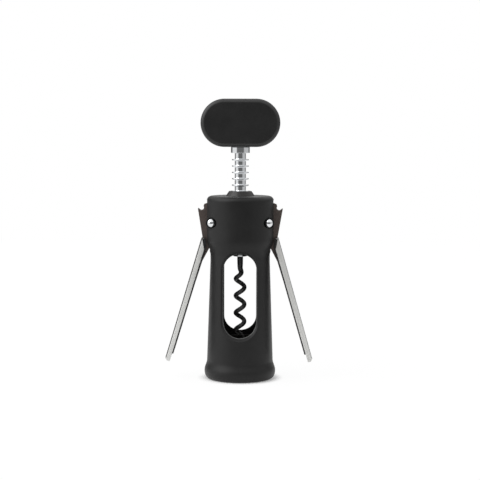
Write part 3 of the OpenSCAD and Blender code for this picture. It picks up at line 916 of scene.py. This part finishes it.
@dataclass
class Worm:
    """The coated open coil that winds into the cork.

    Attributes:
        od: Outer diameter of the coil.
        wire_r: Radius of the wire.
        shank_r: Radius of the straight shank.
        pitch: Rise of one turn.
        shank_z: Top of the shank and its lower end, where the coil begins.
        swell_z: Heights between which the coil widens.
        left_z: A height at which the coil stands furthest left.
        tip_z: Height of the point.
        point: Radius and length of the tapered point.
        sides: Sides of the wire.
        rings: Rings along the coil.
        probe: Height above and below a place from which the wire's direction is read.
        straight: Share of that direction along Z above which the wire counts as upright.
    """

    od: float = 8.5
    wire_r: float = 1.45
    shank_r: float = 1.9
    pitch: float = 11.2
    shank_z: tuple[float, float] = (91.7, 78.3)
    swell_z: tuple[float, float] = (72.6, 64.6)
    left_z: float = 65.0
    tip_z: float = 25.5
    point: tuple[float, float] = (0.25, 6.5)
    sides: int = 20
    rings: int = 260
    probe: float = 0.01
    straight: float = 0.9999

    def centre(self, z: float) -> Vector:
        """Follows the middle of the wire.

        Args:
            z: Height.

        Returns:
            The middle at that height.
        """
        reach = ease(0, self.od / 2 - self.wire_r, (self.swell_z[0] - z) / (self.swell_z[0] - self.swell_z[1]))
        turn = math.pi + FULL_TURN * (z - self.left_z) / self.pitch
        return Vector((reach * math.cos(turn), reach * math.sin(turn), z))

    def thickness(self, z: float) -> float:
        """Thins the wire from its shank to the coil and towards the point.

        Args:
            z: Height.

        Returns:
            The wire's radius at that height.
        """
        body = ease(self.shank_r, self.wire_r, (self.shank_z[1] - z) / (self.shank_z[1] - self.swell_z[1]))
        least, length = self.point
        point = least + (self.wire_r - least) * math.sin(math.pi / 2 * min(1.0, (z - self.tip_z) / length))
        return min(body, point) if z < self.swell_z[1] else body

    def frame_at(self, z: float) -> Matrix:
        """Sets a ring of the wire square to its direction.

        Args:
            z: Height.

        Returns:
            The ring's place, turn and size as a matrix.
        """
        along = (self.centre(z - self.probe) - self.centre(z + self.probe)).normalized()
        upright = abs(along.z) > self.straight
        side = Vector((0, 1, 0)) if upright else along.cross(Vector(UPRIGHT)).normalized()
        other = side.cross(along)
        size = self.thickness(z)
        turn = Matrix((other * size, side * size, along * size)).transposed().to_4x4()
        return Matrix.Translation(self.centre(z)) @ turn

    def build(self) -> None:
        """Draws the wire out ring by ring from shank to point."""
        heights = [self.shank_z[0], *spaced(self.shank_z[1], self.tip_z, self.rings - 1)]
        bm = bmesh.new()
        bmesh.ops.create_circle(bm, segments=self.sides, radius=1.0)
        ring = bm.edges[:]
        base = {v: v.co.copy() for v in bm.verts}
        first = self.frame_at(heights[0])
        for vert, flat in base.items():
            vert.co = first @ flat
        for z in heights[1:]:
            place = self.frame_at(z)
            ring, sources = extrude_ring(bm, ring)
            for vert, source in sources.items():
                base[vert] = base[source]
                vert.co = place @ base[vert]
        bmesh.ops.holes_fill(bm, edges=[e for e in bm.edges if e.is_boundary], sides=0)
        finish_piece(bm, "coated_worm", Body.SPINDLE, COATED, ["worm"], sharp=50)


@dataclass
class Lever:
    """One side lever: gear head, sheet arm, its inner strip and the flush rivets.

    Attributes:
        side: Name of the side.
        body: Body that it moves with.
        lean: Lean from upright in degrees, positive where its brush lines turn clockwise.
        gear_edge: Rounding of the gear's edges.
        arm_edge: Rounding of the arm's hard edges.
        strip_edge: Rounding of the strip's edges.
        rivet_edge: Rounding of the flush rivets' edges.
        bend: Least and most share of a face's normal that points outwards where the sheet is bent and gets painted
            shade.
        bend_y: Least share of that normal along Y.
    """

    side: str
    body: Body
    lean: float
    gear_edge: float = 0.2
    arm_edge: float = 0.25
    strip_edge: float = 0.2
    rivet_edge: float = 0.12
    bend: tuple[float, float] = (0.42, 0.99)
    bend_y: float = 0.1

    def paint_bend_shade(self, arm: Object) -> None:
        """Paints shade on the bent outer edges of the arm with a darker copy of the steel.

        Args:
            arm: The arm.
        """
        angle = math.radians(self.lean)
        outwards = Vector((-math.cos(angle), 0, math.sin(angle))) * math.copysign(1, self.lean)
        arm.data.materials.append(BEND_SHADE_STEEL.material())
        # Faces in the bend get the darker steel: painted shade.
        for face in arm.data.polygons:
            if self.bend[0] < face.normal.dot(outwards) < self.bend[1] and abs(face.normal.y) > self.bend_y:
                face.material_index = 1

    def build(self) -> None:
        """Rounds and dresses the lever's pieces."""
        steel = satin_steel(self.side, self.lean)
        for node, name, width, finish in (("lever_gear", "gear_head", self.gear_edge, SINTERED),
                                          ("lever_arm", "sheet_arm", self.arm_edge, steel),
                                          ("lever_strip", "inner_strip", self.strip_edge, STRIP),
                                          ("arm_rivets", "flush_rivets", self.rivet_edge, steel)):
            source = f"{node}_{self.side}"
            piece = finish_piece(softened_node(source, width), f"{name}_{self.side}", self.body, finish, [source],
                                 sharp=32)
            if node == "lever_arm":
                self.paint_bend_shade(piece)


@dataclass
class HiddenParts:
    """CAD nodes that keep their shapes and only get a finish.

    Attributes:
        finishes: Node name to finish.
    """

    finishes: dict[str, Finish] = field(default_factory=lambda: {
        "spindle_rod": CHROME, "handle_core": NYLON, "handle_cross_pin": CHROME})

    def dress(self) -> None:
        """Gives each node its material."""
        for node, finish in self.finishes.items():
            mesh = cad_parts[node].data
            mesh.materials.clear()
            mesh.materials.append(finish.material())
            log.info("%s keeps its CAD shape", node)


@dataclass
class Studio:
    """Pale floor, soft light and the camera.

    Attributes:
        distance: Distance of the camera from the spindle, in millimetres.
        camera_z: Height of the camera.
        azimuth: Turn of the camera to the right, in degrees.
        pitch: How far the camera looks down, in degrees.
        roll: Turn about its own axis, in degrees.
        aside: Sideways turn of its aim, in degrees.
        lens_px: Focal length in pixels of a 480 pixel frame.
        frame_px: Width of that frame.
        floor_size: Side of the floor.
        floor_near: Distance from the spindle to the floor's front edge.
        floor_drop: Depth of the floor below the base, so that the two faces don't flicker.
        floor_fade: Distances between which the floor turns into the white background.
        floor_lift: Share of that white near the object and far from it.
        room: Levels of the surroundings, by place.
        seams: Directions between which one of those levels turns into the next.
        key_place: Place of the lamp.
        key_size: Side of its face.
        key_power: Its power in watts.
        key_aim_z: Height on the spindle that it faces.
    """

    distance: float = 814.0
    camera_z: float = 157.0
    azimuth: float = 0.5
    pitch: float = 4.685
    roll: float = 0.153
    aside: float = 0.009
    lens_px: float = 1254.7
    frame_px: float = 480.0
    floor_size: float = 1400.0
    floor_near: float = 330.0
    floor_drop: float = 0.2
    floor_fade: tuple[float, float] = (22.5, 29.0)
    floor_lift: tuple[float, float] = (0.25, 0.94)
    room: dict[str, float] = field(default_factory=lambda: {
        "front": 0.16, "left": 0.9, "right": 0.58, "back": 0.9, "back_left": 0.08, "back_right": 0.25,
        "above": 1.1})
    seams: dict[str, tuple[float, float]] = field(default_factory=lambda: {
        "sides": (-0.3, 0.3), "backdrop": (0.06, 0.16), "back": (0.3, 0.5), "front": (-0.8, -0.62),
        "above": (0.25, 0.55)})
    key_place: tuple[float, float, float] = (-1500, -600, 1400)
    key_size: float = 2000.0
    key_power: float = 31.0
    key_aim_z: float = 90.0

    def build_camera(self) -> None:
        """Sets the camera where the photograph was taken from."""
        data = bpy.data.cameras.new("camera")
        data.sensor_width = 36.0
        data.lens = self.lens_px / self.frame_px * data.sensor_width
        camera = bpy.data.objects.new("camera", data)
        angle = math.radians(self.azimuth)
        place = Vector((math.sin(angle), -math.cos(angle), 0)) * self.distance
        place.z = self.camera_z
        turn = (Matrix.Rotation(angle + math.radians(self.aside), 4, "Z")
                @ Matrix.Rotation(math.radians(90 - self.pitch), 4, "X")
                @ Matrix.Rotation(math.radians(self.roll), 4, "Z"))
        camera.matrix_world = Matrix.Translation(place * MM) @ turn
        bpy.context.scene.collection.objects.link(camera)
        bpy.context.scene.camera = camera

    def build_floor(self) -> None:
        """Lays a white floor that keeps the shadow and meets the white background."""
        bm = bmesh.new()
        bmesh.ops.create_grid(bm, x_segments=1, y_segments=1, size=self.floor_size / 2 * MM)
        bmesh.ops.translate(bm, verts=bm.verts, vec=(0, (self.floor_size / 2 - self.floor_near) * MM, 0))
        floor = mesh_object(bm, "floor")
        floor.location.z = -self.floor_drop * MM
        material = bpy.data.materials.new("white_studio_floor")
        floor.data.materials.append(material)
        tree = blank_tree(material)
        seen = self.background_rays(tree)
        paper = add_node(tree, "ShaderNodeBsdfDiffuse", inputs={"Color": linear("#f2f2f2")})
        place = add_node(tree, "ShaderNodeTexCoord").outputs["Object"]
        away = add_node(tree, "ShaderNodeVectorMath", {"operation": "LENGTH"}, {0: place}).outputs["Value"]
        fade = add_node(tree, "ShaderNodeMapRange", {"interpolation_type": "SMOOTHSTEP"}, {
            "Value": away, "From Min": self.floor_fade[0] * MM, "From Max": self.floor_fade[1] * MM,
            "To Min": self.floor_lift[0], "To Max": self.floor_lift[1]}).outputs["Result"]
        lift = add_node(tree, "ShaderNodeMath", {"operation": "MULTIPLY"}, {0: seen, 1: fade}).outputs["Value"]
        white = add_node(tree, "ShaderNodeEmission", inputs={"Color": (1, 1, 1, 1), "Strength": 1.0})
        both = add_node(tree, "ShaderNodeMixShader", inputs={0: lift, 1: paper.outputs[0], 2: white.outputs[0]})
        add_node(tree, "ShaderNodeOutputMaterial", inputs={"Surface": both.outputs[0]})

    def background_rays(self, tree: NodeTree) -> NodeSocket:
        """Tells rays that show the background, straight or mirrored, from those that light the object.

        Args:
            tree: Node tree of the floor's material.

        Returns:
            A socket that is 1 for the former.
        """
        path = add_node(tree, "ShaderNodeLightPath")
        first = add_node(tree, "ShaderNodeMath", {"operation": "MAXIMUM"}, {
            0: path.outputs["Is Camera Ray"], 1: path.outputs["Is Glossy Ray"]}).outputs["Value"]
        return add_node(tree, "ShaderNodeMath", {"operation": "MAXIMUM"}, {
            0: first, 1: path.outputs["Is Transmission Ray"]}).outputs["Value"]

    def build_world(self) -> None:
        """Makes a white room, brightest above, dimmer on the right, dark behind the camera and beside the backdrop."""
        world = bpy.data.worlds.new("studio")
        tree = blank_tree(world)
        path = add_node(tree, "ShaderNodeLightPath")
        way = add_node(tree, "ShaderNodeTexCoord").outputs["Generated"]
        parts = add_node(tree, "ShaderNodeSeparateXYZ", inputs={"Vector": way})

        def step(value: NodeSocket, seam: str, least: float = 0.0, most: float = 1.0) -> NodeSocket:
            """Returns a smooth step of a socket's value over a seam."""
            low, high = self.seams[seam]
            return add_node(tree, "ShaderNodeMapRange", {"interpolation_type": "SMOOTHSTEP"}, {
                "Value": value, "From Min": low, "From Max": high, "To Min": least, "To Max": most}).outputs["Result"]

        def between(share: NodeSocket, first: float | NodeSocket, second: float | NodeSocket) -> NodeSocket:
            """Returns a mix of two levels."""
            return add_node(tree, "ShaderNodeMix", {"data_type": "FLOAT"}, {
                "Factor": share, 2: first, 3: second}).outputs[0]

        right, back, up = (parts.outputs[name] for name in "XYZ")
        aside = add_node(tree, "ShaderNodeMath", {"operation": "ABSOLUTE"}, {0: right}).outputs["Value"]
        rear = between(step(aside, "backdrop"), self.room["back"],
                       step(right, "sides", self.room["back_left"], self.room["back_right"]))
        room = between(step(back, "back"), step(right, "sides", self.room["left"], self.room["right"]), rear)
        room = between(step(back, "front"), self.room["front"], room)
        room = between(step(up, "above"), room, self.room["above"])
        level = between(path.outputs["Is Camera Ray"], room, 1.0)
        sky = add_node(tree, "ShaderNodeBackground", inputs={"Color": (1, 1, 1, 1), "Strength": level})
        add_node(tree, "ShaderNodeOutputWorld", inputs={"Surface": sky.outputs[0]})
        bpy.context.scene.world = world

    def build_lamp(self) -> None:
        """Hangs a square soft lamp at the upper left that faces the middle of the object."""
        data = bpy.data.lights.new("key_upper_left", "AREA")
        data.size = self.key_size * MM
        data.energy = self.key_power
        lamp = bpy.data.objects.new("key_upper_left", data)
        lamp.location = Vector(self.key_place) * MM
        aim = Vector((0, 0, self.key_aim_z)) * MM - lamp.location
        lamp.rotation_euler = aim.to_track_quat("-Z", "Y").to_euler()
        bpy.context.scene.collection.objects.link(lamp)

    def build(self) -> None:
        """Sets up floor, surroundings, lamp and camera."""
        self.build_floor()
        self.build_world()
        self.build_lamp()
        self.build_camera()
        bpy.context.scene.view_settings.view_transform = "Standard"


def main() -> None:
    """Builds the corkscrew's pieces, its finishes and the studio."""
    logging.basicConfig(level=logging.INFO, format="%(name)s: %(message)s")
    for assembly in (BellBody(), BellFittings(), Spindle(), Handle(), Worm(), Lever("left", Body.LEFT, lean=16.7),
                     Lever("right", Body.RIGHT, lean=-15.8, bend=(0.78, 0.99))):
        assembly.build()
    HiddenParts().dress()
    Studio().build()


if __name__ == "__main__":
    main()
